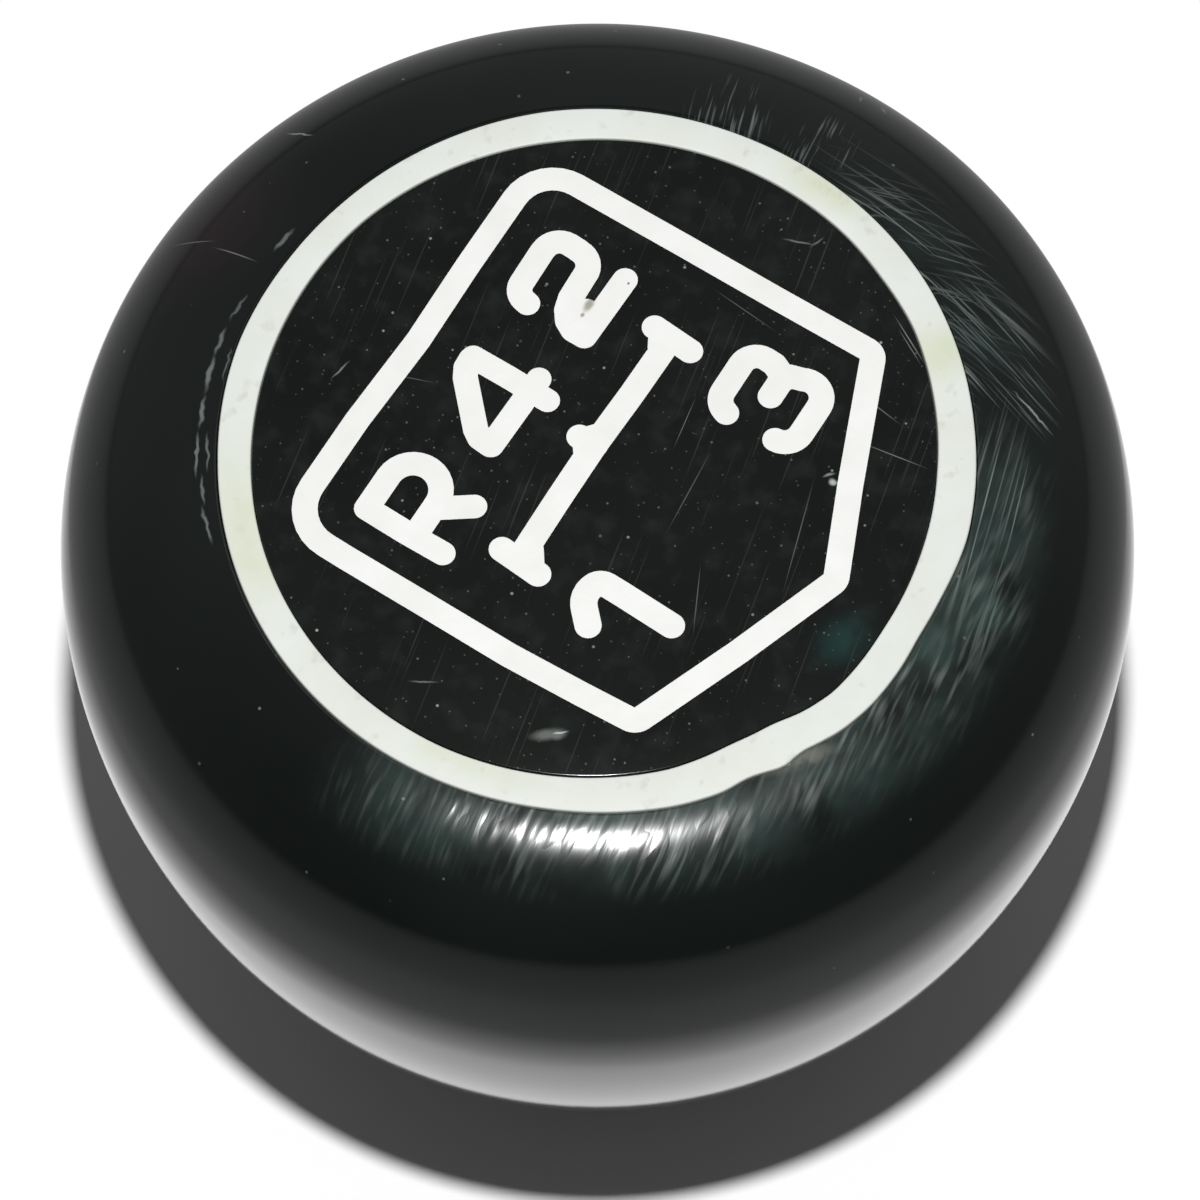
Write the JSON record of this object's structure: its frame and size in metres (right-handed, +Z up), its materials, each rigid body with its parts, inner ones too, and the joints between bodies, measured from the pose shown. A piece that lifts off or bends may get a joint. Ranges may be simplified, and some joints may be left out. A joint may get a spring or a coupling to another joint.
{
  "type": "gear shift knob",
  "caption": "Round gear shift knob with a tapered flank, a pale ring and an engraved shift pattern disc on top, and a threaded insert for the lever.",
  "frame": {"origin": "middle of the flat foot, on the lever's axis", "axes": "+Z up along the lever's axis, +X the way the pattern reads, +Y towards the pattern's upper edge"},
  "size_m": [0.05, 0.05, 0.0494],
  "materials": {
    "black_plastic": "glossy, worn with fine scratches",
    "brass": "turned, slightly dull",
    "ring_plastic": "satin, aged off-white",
    "disc_plastic": "satin, dusty",
    "white_fill": "smooth paint fill"
  },
  "bodies": {
    "root": {"knob_body": "black_plastic", "threaded_insert": "brass", "trim_ring": "ring_plastic", "pattern_disc": "disc_plastic", "border_inlay": "white_fill", "gate_inlay": "white_fill"}
  },
  "joints": []
}
